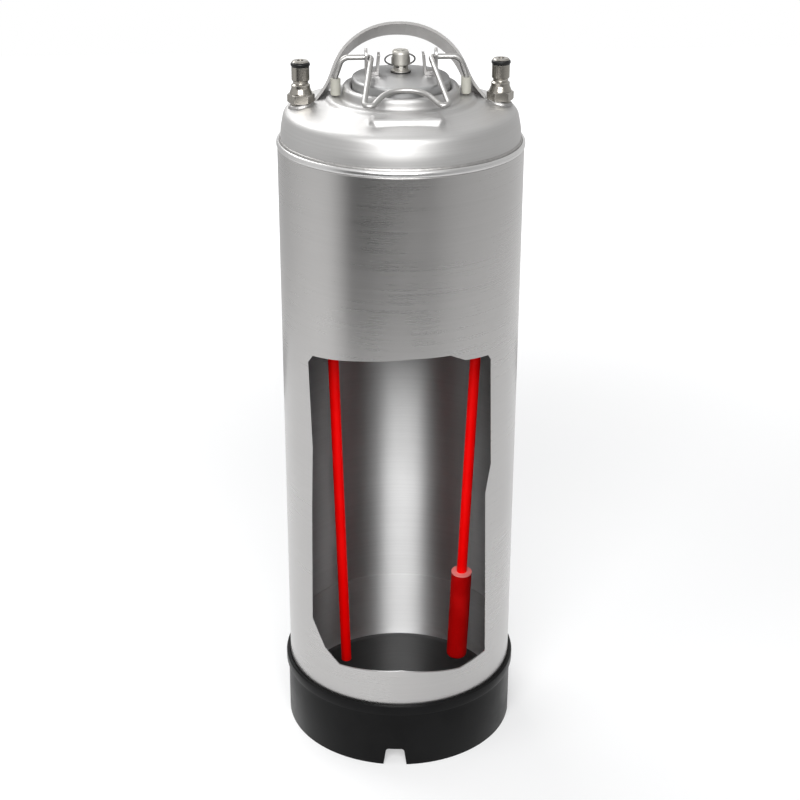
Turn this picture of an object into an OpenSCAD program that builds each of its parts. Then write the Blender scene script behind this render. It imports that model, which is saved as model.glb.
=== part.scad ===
// Carbonation keg: a stainless tank with a clamp-down lid, two quick-connect posts,
// a rubber boot, and a display window cut in the front that shows the lines inside.
// Millimetres. Origin at the centre of the foot, +Z up, window towards -Y, gas post on +X.

/* [Tank] */
// Outside diameter of the shell
shell_d = 216; // [212:1:236]
// Sheet thickness of the shell and of both heads
sheet_t = 1.5; // [1.2:0.1:1.8]
// Height of the shell's bottom edge above the floor
shell_bottom = 45; // [40:1:55]
// Height of the shell's top edge above the floor
shell_top = 584; // [540:1:660]
// Depth of each head's skirt inside the shell
skirt_h = 24; // [16:1:34]
// Height of the land round the mouth above the shell's top edge
land_rise = 37.5; // [34:0.5:44]
// Radius of the rounded shoulder of the top head
shoulder_round = 8; // [5:0.5:12]
// Height of the bottom head's underside above the floor
bottom_rise = 14; // [12:1:20]
// Outside radius of the bottom head's knuckle
knuckle_round = 14; // [8:1:24]

/* [Window] */
// Height of the window's lower edge above the shell's bottom edge
window_low = 52; // [46:1:80]
// Height of the window, from its lower edge to its highest point
window_h = 322; // [260:1:360]
// Width of the window, measured straight across
window_w = 163; // [120:1:170]
// Sideways place of the window's middle
window_x = -5; // [-10:1:5]

/* [Boot] */
// Height of the boot above the floor
boot_h = 67; // [60:1:80]
// Wall of the boot below its lip
boot_wall = 1.8; // [1.4:0.1:4]
// How far the lip at the boot's top stands out past its wall
boot_lip = 2.2; // [1:0.1:4]
// Width of the boot's bottom flange, inwards from the shell's outer face
boot_flange_w = 14; // [8:1:22]
// Width of one drain notch
notch_w = 19.6; // [12:0.2:28]
// Height of one drain notch
notch_h = 18; // [10:0.5:24]
// Number of drain notches
notch_count = 4; // [3:1:6]

/* [Mouth and lid] */
// Half the width of the lid's raised middle, across X
lid_r = 42.2; // [38:0.2:45]
// How far the mouth is stretched towards the front and back
mouth_stretch = 4.5; // [3:0.5:8]
// Sheet thickness of the lid
lid_t = 1.9; // [1.5:0.1:2.4]
// Height of the rolled collar above the land
collar_h = 9.8; // [8.5:0.1:13]
// Height of the lid's flat middle above the land
crown_h = 19.5; // [16:0.5:24]
// Cord thickness of the lid's seal
seal_d = 5.8; // [4.8:0.1:6.4]

/* [Clamp] */
// Wire thickness of the clamp
wire_d = 4.8; // [4:0.1:5.4]
// Height of the clamp's pivot above the lid's flat middle
pivot_h = 14; // [12:0.5:18]
// Half the distance between the clamp's two arms, at the pivot
arm_x = 25.5; // [24:0.5:28]
// Length of the clamp's handle from its pivot
handle_len = 75; // [68:1:84]
// Slope of the closed handle below level
handle_drop = 19.5; // [17:0.5:22]
// Thickness of the sheet of the two pivot ears
ear_t = 2.2; // [1.6:0.1:2.6]
// Width of the pivot ears
ear_w = 12; // [10:0.5:15]
// Diameter of the clamp's two feet
foot_d = 8.8; // [7.5:0.1:9.6]
// Height of the clamp's two feet
foot_h = 15; // [12:0.5:16]

/* [Handle strap] */
// Width of the strap
strap_w = 29.5; // [24:0.5:36]
// Thickness of the strap
strap_t = 2.5; // [2:0.1:3.5]
// Height of the strap's arch, along its own slope
strap_rise = 68.5; // [60:0.5:80]
// Backward lean of the strap
strap_lean = 29.6; // [20:0.5:35]

/* [Posts] */
// Distance of each post's axis from the shell's outer face
post_inset = 21.6; // [20.5:0.2:24]
// Width across the flats of a post's hexagon
post_hex = 20.6; // [20.2:0.1:24]
// Height of a post above the underside of its hexagon
post_h = 36; // [34:0.2:39]
// Diameter of a post's plain body
post_d = 15.5; // [14.8:0.1:16]
// Cord thickness of a post's outer seal
post_seal_d = 3.8; // [3:0.1:4]

/* [Lines] */
// Outside diameter of the tubes
tube_d = 10; // [8:0.5:10.4]
// Wall of the tubes
tube_wall = 1; // [0.6:0.1:1.5]
// Diameter of the carbonation stone
stone_d = 20.3; // [16:0.1:26]
// Length of the carbonation stone
stone_len = 100; // [60:1:120]
// Height of the tubes' lower ends above the floor
line_end = 33; // [26:1:45]

/* [Relief valve] */
// Diameter of the valve's barrel
relief_d = 16; // [15.4:0.1:18]
// Height of the barrel above the lid's flat middle
relief_h = 19; // [18.5:0.5:23]
// Place of the valve behind the lid's middle
relief_y = 4; // [0:0.5:5]
// Wire thickness of the pull ring
ring_wire = 1.5; // [1:0.1:1.8]
// Radius of the pull ring
ring_r = 13; // [12:0.5:15]
// Travel of the valve's stem
relief_travel = 2.5; // [1.5:0.5:3]

/* [Fits] */
// Gap between pieces that are welded, glued or pressed together
set_gap = 0.05; // [0.02:0.01:0.1]
// Gap between pieces that move past each other
run_gap = 0.3; // [0.2:0.05:0.5]
// Gap round the clamp's wire in its ears
pin_gap = 0.08; // [0.03:0.01:0.1]

/* [Hidden] */
$fn = 96;

// Colours
steel = [0.72, 0.72, 0.71];
bright_steel = [0.80, 0.80, 0.79];
warm_steel = [0.62, 0.60, 0.57];
black_rubber = [0.09, 0.09, 0.10];
red = [0.95, 0.02, 0.02];
dark_red = [0.62, 0.02, 0.02];
pale_plastic = [0.66, 0.66, 0.60];

// Tank radii and heights
shell_r = shell_d / 2;
shell_in = shell_r - sheet_t;
skirt_r = shell_in - set_gap;
seam_h = 4.5;
seam_depth = 0.35;
land_z = shell_top + land_rise;
step_drop = 3;

// Mouth: the seal sits on the lid's flange, between the lid's wall and the collar
lid_side_gap = 0.8;
seal_side_gap = 0.2;
collar_side_gap = 0.6;
lip_r = lid_r + lid_side_gap;
collar_r = lid_r + seal_side_gap + seal_d + collar_side_gap + sheet_t;
collar_foot_round = 2.5;
crest_z = land_z + collar_h;
lip_z = crest_z - 5.85;
flange_top = lip_z - seal_d - run_gap - set_gap;
seal_mid_r = lid_r + seal_side_gap + seal_d / 2;
seal_mid_z = flange_top + set_gap + seal_d / 2;
flange_r = seal_mid_r + 1.6;
crown_z = land_z + crown_h;
crown_fall = 2.8;
crown_round = 40;
seat_r = 14;

// Top head outline
land_r = collar_r + 12.7;
step_r = land_r + 3;
step_z = land_z - step_drop;
neck_r = shell_in - 1.6;
neck_rise = 10;
neck_round = 45;
shoulder_r = shell_r - 6.5;
shoulder_z = land_z - 10.7;
pad_half = 33;
pad_reach = 15;
pad_flat = 13;
pad_slope = 3;
pad_round = 5;

// Boot
boot_in = shell_r + set_gap;
boot_out = boot_in + boot_wall;
boot_ledge_r = skirt_r + run_gap;
boot_flange_r = shell_r - boot_flange_w;
boot_floor = 6;
boot_lip_h = 10;
lip_low_z = boot_h - boot_lip_h;
lip_round = 1.6;
hollow_depth = 0.5;
hollow_h = 5;
notch_round = 2.5;
notch_taper = 1.4;
notch_turn = -5.9;

// Clamp
wire_r = wire_d / 2;
pivot_z = crown_z + pivot_h;
foot_x = collar_r + foot_d / 2 + 1.8;
foot_gap = run_gap + 0.2;
foot_bottom = land_z + foot_gap;
foot_round = foot_d / 4;
foot_grip = 12.5;
leg_start = 1.6;
leg_lean = 6;
foot_bend = 6;
leg_bend = 8.5;
pivot_bend = 3;
tip_bend = 4.2;
grip_bend = 24;
tip_splay = 10;
tip_in = 2.5;
grip_in = 10.5;
grip_back = 23;
ear_gap = 1.1;
ear_inner_x = arm_x - wire_r - ear_gap;
ear_outer_x = arm_x + wire_r + ear_gap;
ear_top = 7.5;

// Strap
strap_foot_round = 60;
strap_bow = 1.37;
strap_crown_in = 12.6;
strap_leg_out = 7.8;
strap_leg_rise = 14;
strap_tip_out = 23.8;
strap_tip_drop = 6.4;

// Posts, measured from the underside of the hexagon
post_x = shell_r - post_inset;
hex_corner = post_hex / sqrt(3);
post_base = dome_z(post_x - hex_corner) + run_gap;
post_top = post_base + post_h;
hex_h = 7.5;
cone_r = 9.8;
spud_r = 9.2;
spud_bore = tube_d / 2 + run_gap;
spud_low = dome_z(post_x) - 8;
spud_top = post_base + 2.5;
tube_seal_d = 2.1;
tube_flange_z = spud_top + tube_seal_d + 2 * set_gap;
tube_flange_t = 1;
tube_flange_r = spud_r - 0.6;
chamber_r = 5.4;
chamber_low = tube_flange_z + tube_flange_t + set_gap;
seal_groove_top = post_h - 1.3;
seal_groove_low = seal_groove_top - post_seal_d - 2 * set_gap;
seal_groove_r = post_d / 2 + 0.65 - post_seal_d;
seal_flat = 0.1;
chamber_top = post_base + seal_groove_low - 1.2;
poppet_stem_r = 2.6;
poppet_r = chamber_r - run_gap;
poppet_seal_t = 1.2;
poppet_seal_z = chamber_top - run_gap - poppet_seal_t;
poppet_disc_t = 2.5;
poppet_low = poppet_seal_z - poppet_disc_t;

// Lines: each tube drops from its post, steps inwards and runs down to its end
tube_r = tube_d / 2;
line_bend = 22;
line_lean_y = 28;
jog_depth = 33;
jog_drop = 36;
jog_top = land_z - jog_depth;
jog_low = jog_top - jog_drop;
liquid_jog = 19.8;
gas_jog = 9.6;
liquid_jog_x = post_x - liquid_jog;
liquid_end_x = 52;
gas_jog_x = post_x - gas_jog;
gas_end_x = 60.7;
stone_socket = 12;
cap_t = 1.5;

// Relief valve, measured from the lid's flat middle
gasket_t = 1;
relief_r = relief_d / 2;
shank_r = 7;
bung_r = 10.5;
bung_h = 6;
relief_seat = 2;
relief_bore = 3.2;
cavity_r = 5.6;
stem_r = 2;
stem_head_r = 2.7;
stem_disc_t = 1.6;
stem_seal_t = 0.6;
stem_low = relief_seat + run_gap + stem_seal_t;
web_low = stem_low + stem_disc_t + relief_travel + 4;
web_top = web_low + 1.8;
ring_z = web_top + 3.7;
channel_half = 3.8;
waist_r = relief_r - 1.6;
waist_top = 6;
drum_r = relief_r + 0.2;
drum_low = 7.4;
ring_drop = 37;
vent_count = 6;
vent_w = 3.2;
vent_h = 3.2;
vent_low = gasket_t + 2;

// Bends of tubes and wire
bend_slip = 0.03;
bend_lap = 0.25;

// Springs
spring_wire = 0.8;
spring_curls = 6;
relief_spring_curls = 3;
rings_a_curl = 8;

// Plane geometry

function unit(v) = v / norm(v);
function flat(lists) = [for (l = lists) for (p = l) p];
function left_of(p, i) = let (d = unit(p[i + 1] - p[i])) [-d[1], d[0]];

// Point i of a line moved sideways by t, mitred at its corners
function moved_point(p, i, t) =
    let (a = left_of(p, max(i - 1, 0)), b = left_of(p, min(i, len(p) - 2)))
    p[i] + t * (a + b) / (1 + a * b);

// Closed outline of a sheet of thickness t along a line, lying on the line's left
function sheet(p, t) = concat(p, [for (i = [len(p) - 1:-1:0]) moved_point(p, i, t)]);

// Points of a round of radius r at the corner k between a and b
function corner(a, k, b, r, n) =
    let (
        u = unit(a - k),
        w = unit(b - k),
        half = acos(u * w) / 2,
        c = k + unit(u + w) * r / sin(half),
        from = k + u * r / tan(half) - c,
        to = k + w * r / tan(half) - c,
        start = atan2(from[1], from[0]),
        turn = atan2(to[1], to[0]) - start,
        sweep = turn > 180 ? turn - 360 : turn < -180 ? turn + 360 : turn
    )
    [for (i = [0:n]) c + r * [cos(start + sweep * i / n), sin(start + sweep * i / n)]];

// A line with a round at each corner that has a radius
function rounded(p, radii, n = 8) = flat([
    for (i = [0:len(p) - 1])
        radii[i] == 0 ? [p[i]] : corner(p[i - 1], p[i], p[i + 1], radii[i], n)
]);

// Height of the top head's outer face at the distance r from the axis, between step and shoulder
function dome_z(r) = shoulder_z + (shoulder_r - r) * (step_z - shoulder_z) / (shoulder_r - step_r);

// Outer face of the top head, from its skirt to the land
function head_line(r_end) = rounded(
    [
        [skirt_r, shell_top - skirt_h],
        [skirt_r, shell_top - 1],
        [neck_r, shell_top + 1.5],
        [neck_r, shell_top + neck_rise],
        [shoulder_r, shoulder_z],
        [step_r, step_z],
        [land_r, land_z],
        [r_end, land_z]
    ],
    [0, 0, 0, neck_round, shoulder_round, 2, 2.5, 0]
);

// Rolled collar round the mouth, from the land over its crest and down to its lip
function collar_line() = let (crest_round = (collar_r - lip_r) / 2 - 0.3) rounded(
    [
        [collar_r + 6, land_z],
        [collar_r, land_z],
        [collar_r, crest_z],
        [lip_r, crest_z],
        [lip_r, lip_z]
    ],
    [0, collar_foot_round, crest_round, crest_round, 0]
);

// Upper face of the lid, from its middle to the rim of its flange
function lid_line() = rounded(
    [
        [0, crown_z],
        [seat_r, crown_z],
        [lid_r, crown_z - crown_fall],
        [lid_r, flange_top],
        [flange_r, flange_top]
    ],
    [0, crown_round, 2.6, 2, 0]
);

// Upper face of the strap in its own plane, from foot to foot; the height counts from the tips
function strap_line() = let (
    crown_half = foot_x - strap_crown_in,
    leg_half = foot_x + strap_leg_out,
    tip_half = foot_x + strap_tip_out
) rounded(
    [
        [tip_half, -strap_tip_drop],
        [leg_half, strap_leg_rise],
        [crown_half, strap_rise],
        [-crown_half, strap_rise],
        [-leg_half, strap_leg_rise],
        [-tip_half, -strap_tip_drop]
    ],
    [0, strap_foot_round, crown_half * strap_bow, crown_half * strap_bow, strap_foot_round, 0],
    14
);

// Space geometry

// Turns +Z to the direction d and moves the origin to p
module along(p, d) {
    z = unit(d);
    side = abs(z[2]) > 0.9 ? [1, 0, 0] : [0, 0, 1];
    x = unit(cross(side, z));
    y = cross(z, x);
    multmatrix([
        [x[0], y[0], z[0], p[0]],
        [x[1], y[1], z[1], p[1]],
        [x[2], y[2], z[2], p[2]],
        [0, 0, 0, 1]
    ])
        children();
}

// Length that a bend of radius r takes from each of the two runs that meet at point i
function bend_cut(p, i, r) = r == 0 ? 0
    : r * tan(acos(unit(p[i] - p[i - 1]) * unit(p[i + 1] - p[i])) / 2);

// Round rod along straight runs, with a true bend at each inner point; each bend is a hair
// thinner than the runs and reaches a little way into both of them
module rod(p, bends, r) {
    last = len(p) - 1;
    for (i = [0:last - 1]) {
        d = unit(p[i + 1] - p[i]);
        a = i == 0 ? p[0] : p[i] + d * bend_cut(p, i, bends[i]);
        b = i == last - 1 ? p[last] : p[i + 1] - d * bend_cut(p, i + 1, bends[i + 1]);
        along(a, d) cylinder(h = norm(b - a), r = r);
    }
    for (i = [1:last - 1]) {
        u = unit(p[i] - p[i - 1]);
        w = unit(p[i + 1] - p[i]);
        n = unit(cross(u, w));
        out = cross(u, n);
        c = p[i] - u * bend_cut(p, i, bends[i]) - out * bends[i];
        lap = bend_lap / bends[i] * 180 / PI;
        multmatrix([
            [out[0], u[0], n[0], c[0]],
            [out[1], u[1], n[1], c[1]],
            [out[2], u[2], n[2], c[2]],
            [0, 0, 0, 1]
        ])
            rotate([0, 0, -lap]) rotate_extrude(angle = acos(u * w) + 2 * lap)
                translate([bends[i], 0]) circle(r - bend_slip);
    }
}

// Carries a section round the mouth's oval: two half turns and two straight sides
module round_mouth() {
    for (turn = [0, 180]) rotate([0, 0, turn]) {
        translate([0, mouth_stretch, 0]) rotate_extrude(angle = 180) children();
        translate([0, mouth_stretch, 0]) rotate([90, 0, 0]) linear_extrude(2 * mouth_stretch) children();
    }
}

// Solid of the mouth's oval, r wide to each side
module mouth_plug(r, low, high) {
    translate([0, 0, low]) linear_extrude(high - low) {
        for (s = [-1, 1]) translate([0, s * mouth_stretch]) circle(r);
        square([2 * r, 2 * mouth_stretch], center = true);
    }
}

// Everything under the top head's outer face
module under_head() {
    rotate_extrude() polygon(concat(head_line(0), [[0, shell_top - skirt_h]]));
}

// Everything under the lid's upper face
module under_lid() {
    round_mouth() polygon(concat(lid_line(), [[flange_r, flange_top - lid_t], [0, flange_top - lid_t]]));
}

// Ring of round section
module cord_ring(mid_r, cord_r, z) {
    translate([0, 0, z]) rotate_extrude() translate([mid_r, 0]) circle(cord_r);
}

// Points of ring i of a spring's wire, six to a ring
function spring_ring(i, mid_r, low, high, curls) = let (
    part = i / (curls * rings_a_curl),
    turn = 360 * i / rings_a_curl,
    z = low + spring_wire / 2 + (high - low - spring_wire) * part
) [
    for (k = [0:5]) let (
        r = mid_r + spring_wire / 2 * cos(60 * k)
    ) [r * cos(turn), r * sin(turn), z + spring_wire / 2 * sin(60 * k)]
];

// Gap between neighbouring curls, measured on the points of their wire
function spring_gap(mid_r, low, high, curls) = min([
    for (p = spring_ring(0, mid_r, low, high, curls))
        for (q = spring_ring(rings_a_curl, mid_r, low, high, curls)) norm(q - p)
]);

module spring(name, mid_r, low, high, curls) {
    n = curls * rings_a_curl;
    points = flat([for (i = [0:n]) spring_ring(i, mid_r, low, high, curls)]);
    sides = flat([
        for (i = [0:n - 1])
            for (k = [0:5]) let (
                a = 6 * i + k,
                b = 6 * i + (k + 1) % 6
            ) [[a, b, b + 6], [a, b + 6, a + 6]]
    ]);
    first_end = [for (k = [1:4]) [0, k + 1, k]];
    last_end = [for (k = [1:4]) [6 * n, 6 * n + k, 6 * n + k + 1]];
    echo(str("least gap of the ", name, ": "), spring_gap(mid_r, low, high, curls));
    polyhedron(points, concat(sides, first_end, last_end));
}

// Puts a post's piece on its axis: side 1 is the gas post, side -1 the liquid post
module at_post(side) {
    translate([side * post_x, 0, 0]) children();
}

// Upright room round a post's axis, from the shell's top edge past the post
module post_room(side, r) {
    at_post(side) translate([0, 0, shell_top]) cylinder(r = r, h = land_rise + post_h);
}

module at_relief() {
    translate([0, relief_y, crown_z]) children();
}

// Tank

// Hand-cut outline of the window: each point is a share of its width and height
window_outline = [
    [-0.50, 0.13], [-0.43, 0.05], [-0.35, 0.012], [0, 0.022], [0.34, 0],
    [0.50, 0.02], [0.49, 0.25], [0.475, 0.55], [0.505, 0.635], [0.486, 0.957],
    [0.47, 0.972], [0.34, 0.978], [0.255, 1], [0.05, 1], [-0.22, 0.987],
    [-0.47, 0.969], [-0.495, 0.945], [-0.48, 0.69], [-0.49, 0.49]
];

module shell() {
    outline = [
        [shell_in, shell_bottom],
        [shell_r, shell_bottom],
        [shell_r, shell_top - seam_h - 1],
        [shell_r - seam_depth, shell_top - seam_h - 0.5],
        [shell_r, shell_top - seam_h],
        [shell_r, shell_top - 0.7],
        [shell_r - 0.7, shell_top],
        [shell_in, shell_top]
    ];
    color(steel) difference() {
        rotate_extrude() polygon(outline);
        translate([window_x, 0, shell_bottom + window_low]) rotate([90, 0, 0]) linear_extrude(shell_r + 5)
            polygon([for (p = window_outline) [p[0] * window_w, p[1] * window_h]]);
    }
}

module top_head() {
    pad_front = -(step_r + pad_reach);
    pad_top = land_z - 0.5;
    pad_low = shoulder_z - 1;
    color(steel) difference() {
        union() {
            difference() {
                rotate_extrude() polygon(sheet(head_line(collar_r - 8), sheet_t));
                mouth_plug(collar_r + collar_foot_round + 0.5, shell_top, land_z + 1);
            }
            round_mouth() polygon(sheet(collar_line(), sheet_t));
            // stamped pad in front of the mouth
            difference() {
                intersection() {
                    translate([0, 0, shoulder_z]) linear_extrude(land_z - shoulder_z) {
                        translate([-pad_half, pad_front + pad_flat])
                            square([2 * pad_half, pad_reach + 3 - pad_flat]);
                        translate([-pad_half + pad_flat, pad_front]) square([2 * (pad_half - pad_flat), pad_flat]);
                        for (s = [-1, 1]) translate([s * (pad_half - pad_flat), pad_front + pad_flat])
                            circle(pad_flat);
                    }
                    rotate([90, 0, 90]) translate([0, 0, -pad_half]) linear_extrude(2 * pad_half) polygon(rounded(
                        [
                            [pad_front, pad_low],
                            [pad_front + pad_slope, pad_top],
                            [-land_r + 1, pad_top],
                            [-land_r + 1, pad_low]
                        ],
                        [0, pad_round, 0, 0]
                    ));
                    rotate([90, 0, 0]) linear_extrude(-pad_front) polygon(rounded(
                        [
                            [-pad_half, pad_low],
                            [-pad_half + pad_slope, pad_top],
                            [pad_half - pad_slope, pad_top],
                            [pad_half, pad_low]
                        ],
                        [0, pad_round, pad_round, 0]
                    ));
                }
                translate([0, 0, -sheet_t / 2]) under_head();
            }
        }
        for (side = [-1, 1]) post_room(side, spud_r + set_gap);
    }
}

module bottom_head() {
    line = rounded(
        [[0, bottom_rise], [skirt_r, bottom_rise], [skirt_r, shell_bottom + skirt_h + 16]],
        [0, knuckle_round, 0],
        12
    );
    color(steel) rotate_extrude() polygon(sheet(line, sheet_t));
}

module base_boot() {
    outline = concat(
        [[boot_flange_r, 0], [boot_out - 1, 0], [boot_out, 1]],
        [[boot_out, lip_low_z - hollow_h]],
        rounded(
            [
                [boot_out - hollow_depth, lip_low_z],
                [boot_out + boot_lip, lip_low_z],
                [boot_out + boot_lip, boot_h],
                [boot_in, boot_h]
            ],
            [0, lip_round, lip_round, 0]
        ),
        [[boot_in, shell_bottom], [boot_ledge_r, shell_bottom]],
        [[boot_ledge_r, boot_floor], [boot_flange_r, boot_floor]]
    );
    color(black_rubber) difference() {
        rotate_extrude() polygon(outline);
        for (i = [0:notch_count - 1])
            rotate([0, 0, notch_turn + 360 / notch_count * i]) rotate([90, 0, 0])
                translate([0, 0, boot_flange_r - 1]) linear_extrude(boot_flange_w + boot_wall + boot_lip + 2)
                    polygon(rounded(
                        [
                            [-notch_w / 2 - notch_taper, -1],
                            [-notch_w / 2 + notch_taper, notch_h],
                            [notch_w / 2 - notch_taper, notch_h],
                            [notch_w / 2 + notch_taper, -1]
                        ],
                        [0, notch_round, notch_round, 0]
                    ));
    }
}

module handle_strap() {
    tip_y = 4;
    color(bright_steel) difference() {
        translate([0, tip_y, step_z - 0.5]) rotate([90 - strap_lean, 0, 0]) mirror([0, 0, 1])
            linear_extrude(strap_w) polygon(sheet(strap_line(), strap_t));
        under_head();
        for (side = [-1, 1]) post_room(side, hex_corner + 1);
    }
}

// Posts and lines

module spud(side) {
    color(warm_steel) at_post(side) translate([0, 0, spud_low]) difference() {
        cylinder(r = spud_r, h = spud_top - spud_low);
        translate([0, 0, -1]) cylinder(r = spud_bore, h = spud_top - spud_low + 2);
    }
}

module post(side) {
    body_r = post_d / 2;
    outline = [
        [0, hex_h - 1],
        [cone_r, hex_h - 1],
        [cone_r, hex_h + 0.8],
        [8.15, hex_h + 4.9],
        [8.15, hex_h + 7.6],
        [6.7, hex_h + 8.8],
        [6.5, hex_h + 9.8],
        [6.9, hex_h + 11.1],
        [body_r, hex_h + 12],
        [body_r, seal_groove_low],
        [seal_groove_r, seal_groove_low],
        [seal_groove_r, seal_groove_top],
        [body_r - 0.4, seal_groove_top],
        [body_r - 0.4, post_h - 1],
        [body_r - 1.4, post_h],
        [0, post_h]
    ];
    color(warm_steel) at_post(side) difference() {
        translate([0, 0, post_base]) {
            rotate_extrude() polygon(outline);
            intersection() {
                cylinder(r = hex_corner, h = hex_h, $fn = 6);
                rotate_extrude() polygon([
                    [0, 0],
                    [hex_corner - 1.2, 0],
                    [hex_corner, 0.8],
                    [hex_corner, hex_h - 0.8],
                    [hex_corner - 1.2, hex_h],
                    [0, hex_h]
                ]);
            }
        }
        translate([0, 0, post_base - 1]) cylinder(r = spud_r + set_gap, h = chamber_low - post_base + 1);
        translate([0, 0, chamber_low - 1]) cylinder(r = chamber_r, h = chamber_top - chamber_low + 1);
        translate([0, 0, chamber_top - 1]) cylinder(r = poppet_stem_r + run_gap, h = post_top);
    }
}

// Cord ring whose outer side is pressed flat where a connector slides over it
module post_seal(side) {
    mid_r = seal_groove_r + set_gap + post_seal_d / 2;
    color(black_rubber) at_post(side) intersection() {
        cord_ring(mid_r, post_seal_d / 2, post_base + (seal_groove_low + seal_groove_top) / 2);
        translate([0, 0, post_base]) cylinder(r = mid_r + post_seal_d / 2 - seal_flat, h = post_h);
    }
}

module tube_seal(side) {
    color(black_rubber) at_post(side)
        cord_ring(tube_r + set_gap + tube_seal_d / 2, tube_seal_d / 2, spud_top + set_gap + tube_seal_d / 2);
}

module poppet(side) {
    color(warm_steel) at_post(side) {
        translate([0, 0, poppet_low]) cylinder(r = poppet_r, h = poppet_disc_t);
        translate([0, 0, poppet_low]) cylinder(r = poppet_stem_r, h = post_top - 0.8 - poppet_low);
    }
}

module poppet_seal(side) {
    color(black_rubber) at_post(side) translate([0, 0, poppet_seal_z]) difference() {
        cylinder(r = poppet_r, h = poppet_seal_t);
        translate([0, 0, -1]) cylinder(r = poppet_stem_r + set_gap, h = poppet_seal_t + 2);
    }
}

module poppet_spring(side) {
    color(bright_steel) at_post(side)
        spring(
            "post spring",
            chamber_r - 1.1,
            tube_flange_z + tube_flange_t + set_gap,
            poppet_low - set_gap,
            spring_curls
        );
}

// Corner points of a tube: down from the post, in, and back to its end
function line_points(side, jog_x, end) = [
    [side * post_x, 0, tube_flange_z + tube_flange_t],
    [side * post_x, 0, jog_top],
    [side * jog_x, 0, jog_low],
    end
];

gas_end = [gas_end_x, line_lean_y, line_end];
gas_run = unit(gas_end - [gas_jog_x, 0, jog_low]);
stone_top = gas_end - stone_len * gas_run;
liquid_points = line_points(-1, liquid_jog_x, [-liquid_end_x, line_lean_y, line_end]);
gas_points = line_points(1, gas_jog_x, stone_top + stone_socket * gas_run);

module tube(points) {
    bends = [0, line_bend, line_bend, 0];
    run = unit(points[3] - points[2]);
    inside = [points[0] + [0, 0, 1], points[1], points[2], points[3] + run];
    difference() {
        union() {
            rod(points, bends, tube_r);
            translate([points[0][0], points[0][1], tube_flange_z]) cylinder(r = tube_flange_r, h = tube_flange_t);
        }
        rod(inside, bends, tube_r - tube_wall);
    }
}

module liquid_tube() {
    color(red) tube(liquid_points);
}

module gas_tube() {
    color(red) tube(gas_points);
}

module carbonation_stone() {
    r = stone_d / 2;
    color(dark_red) along(stone_top, gas_run) difference() {
        rotate_extrude() polygon(concat(
            [[0, 0], [r, 0]],
            rounded([[r, stone_len - 10], [r, stone_len], [0, stone_len]], [0, 4, 0])
        ));
        translate([0, 0, -1]) cylinder(r = tube_r + set_gap, h = stone_socket + 1);
        translate([0, 0, -1]) cylinder(r = tube_r - tube_wall, h = stone_len - 8);
    }
}

module stone_cap() {
    color([0.78, 0.30, 0.30]) along(stone_top, gas_run) translate([0, 0, -cap_t - set_gap]) difference() {
        cylinder(r = stone_d / 2, h = cap_t);
        translate([0, 0, -1]) cylinder(r = tube_r + set_gap, h = cap_t + 2);
    }
}

// Lid

module lid() {
    color(steel) difference() {
        round_mouth() polygon(sheet(lid_line(), -lid_t));
        at_relief() translate([0, 0, -lid_t - 1]) cylinder(r = shank_r + set_gap, h = lid_t + 2);
    }
}

module lid_seal() {
    color(black_rubber) round_mouth() translate([seal_mid_r, seal_mid_z]) circle(seal_d / 2);
}

module ear(side) {
    low = crown_z - crown_fall;
    inner_top = pivot_z + 3;
    lean = 1.8;
    color(bright_steel) scale_side(side) difference() {
        union() {
            // outer cheek with the pivot hole
            translate([ear_outer_x, 0, 0]) rotate([90, 0, 90]) linear_extrude(ear_t) {
                translate([-ear_w / 2, low]) square([ear_w, pivot_z + ear_top - ear_w / 2 - low]);
                translate([0, pivot_z + ear_top - ear_w / 2]) circle(ear_w / 2);
            }
            // sole and leaning inner cheek
            translate([0, ear_w / 2, 0]) rotate([90, 0, 0]) linear_extrude(ear_w) {
                translate([ear_inner_x - ear_t, low]) square([ear_outer_x - ear_inner_x + 2 * ear_t, crown_z + ear_t - low]);
                polygon([
                    [ear_inner_x - ear_t, crown_z],
                    [ear_inner_x, crown_z],
                    [ear_inner_x - lean, inner_top],
                    [ear_inner_x - ear_t - lean, inner_top]
                ]);
            }
        }
        under_lid();
        translate([ear_outer_x - 1, 0, pivot_z]) rotate([0, 90, 0]) cylinder(r = wire_r + pin_gap, h = ear_t + 2);
    }
}

// Mirrors the right-hand piece to the left for side -1
module scale_side(side) {
    if (side > 0) children();
    else mirror([1, 0, 0]) children();
}

// Relief valve

module relief_bung() {
    color(steel) at_relief() translate([0, 0, -lid_t - bung_h]) difference() {
        cylinder(r = bung_r, h = bung_h);
        translate([0, 0, -1]) cylinder(r = shank_r + set_gap, h = bung_h + 2);
    }
}

module relief_gasket() {
    color(black_rubber) at_relief() difference() {
        cylinder(r = relief_r + 0.8, h = gasket_t);
        translate([0, 0, -1]) cylinder(r = shank_r + set_gap, h = gasket_t + 2);
    }
}

module relief_body() {
    outline = [
        [0, -lid_t - bung_h + 1],
        [shank_r, -lid_t - bung_h + 1],
        [shank_r, gasket_t],
        [drum_r, gasket_t],
        [drum_r, gasket_t + 1],
        [waist_r, gasket_t + 1.6],
        [waist_r, waist_top],
        [drum_r, drum_low],
        [drum_r, relief_h - 2.6],
        [relief_r - 0.3, relief_h - 0.9],
        [relief_r - 1.4, relief_h],
        [0, relief_h]
    ];
    color(warm_steel) at_relief() difference() {
        rotate_extrude() polygon(outline);
        translate([0, 0, -lid_t - bung_h]) cylinder(r = relief_bore, h = lid_t + bung_h + relief_h + 1);
        translate([0, 0, relief_seat]) cylinder(r = cavity_r, h = web_low - relief_seat);
        translate([-relief_d, -channel_half, web_top]) cube([2 * relief_d, 2 * channel_half, relief_h]);
        for (i = [0:vent_count - 1]) rotate([0, 0, 360 / vent_count * i])
            translate([cavity_r - 1, -vent_w / 2, vent_low]) cube([relief_r, vent_w, vent_h]);
    }
}

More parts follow.
